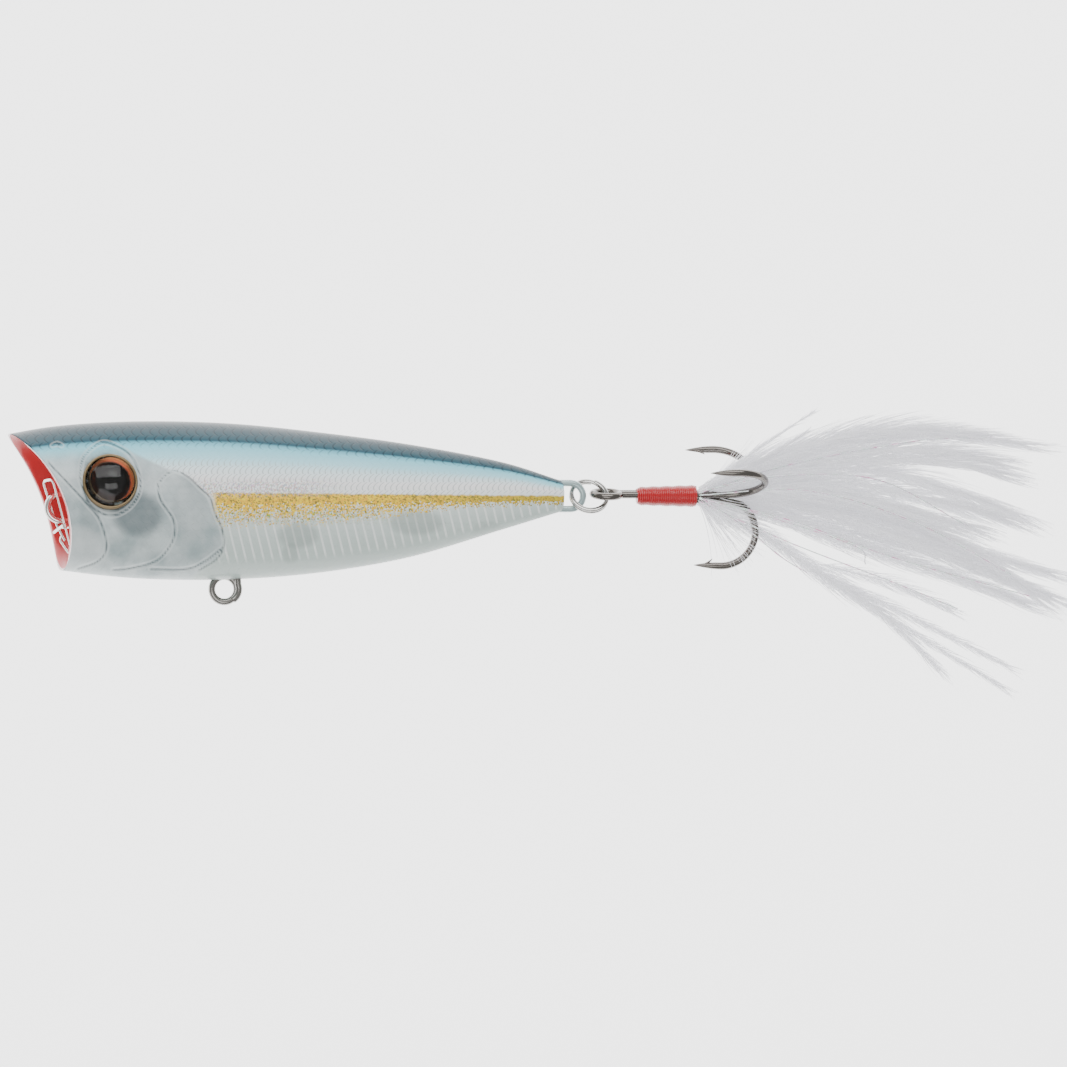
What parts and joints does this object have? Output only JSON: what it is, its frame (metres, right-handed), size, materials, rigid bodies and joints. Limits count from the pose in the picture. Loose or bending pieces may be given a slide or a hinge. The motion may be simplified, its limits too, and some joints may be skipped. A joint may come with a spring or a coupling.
{
  "type": "topwater popper",
  "caption": "Fishing lure with a cupped mouth, hollow tapering body, wire eyes, and a feather-dressed treble hook on a split ring.",
  "frame": {"origin": "centre of the belly eye's hole, in the body's middle plane", "axes": "+X from the mouth to the tail, +Y towards the back, +Z out of the left flank, which is uppermost as the lure lies on its side"},
  "size_m": [0.1173, 0.0297, 0.0156],
  "materials": {
    "painted_abs": "clear-coated paint over moulded ABS",
    "hanger_wire": "drawn stainless wire",
    "snap_wire": "bright stainless spring wire",
    "ring_steel": "polished stainless split ring",
    "eye_foil": "printed reflective foil",
    "eye_resin": "clear domed resin",
    "steel_ball": "ground steel",
    "hook_steel": "black nickel plated carbon steel",
    "red_thread": "varnished nylon tying thread",
    "hackle": "white cock hackle",
    "tinsel": "pearl tinsel"
  },
  "bodies": {
    "root": {"body_shell_left": "painted_abs", "body_shell_right": "painted_abs", "line_tie": "hanger_wire", "belly_hanger": "hanger_wire", "tail_hanger": "hanger_wire", "eye_foil_left": "eye_foil", "eye_foil_right": "eye_foil", "eye_lens_left": "eye_resin", "eye_lens_right": "eye_resin", "ballast_ball": "steel_ball", "tail_weight": "steel_ball"},
    "snap": {"snap": "snap_wire"},
    "ring": {"split_ring": "ring_steel"},
    "hook": {"treble_pair": "hook_steel", "treble_third": "hook_steel", "thread_wrap": "red_thread", "hackle_wisp": "hackle", "hackle_upper": "hackle", "hackle_middle": "hackle", "hackle_main": "hackle", "hackle_under": "hackle", "hackle_lower": "hackle", "tinsel": "tinsel"},
    "rattle": {"rattle_ball": "steel_ball"}
  },
  "joints": [
    {"name": "snap_swing", "type": "hinge", "parent": "root", "child": "snap", "pos_m": [-0.01912, 0.01012, 0], "axis": [0, 0, 1], "range_deg": [-70, 0]},
    {"name": "ring_swing", "type": "hinge", "parent": "root", "child": "ring", "pos_m": [0.03875, 0.0102, 0], "axis": [0, 0, 1], "range_deg": [-50, 50]},
    {"name": "hook_swing", "type": "hinge", "parent": "ring", "child": "hook", "pos_m": [0.0428, 0.0104, 0.00004], "axis": [0, 0.9813, 0.1925], "range_deg": [-50, 50]},
    {"name": "rattle_roll", "type": "slide", "parent": "root", "child": "rattle", "axis": [0, 0, 1], "range_m": [0, 0.0065]}
  ]
}
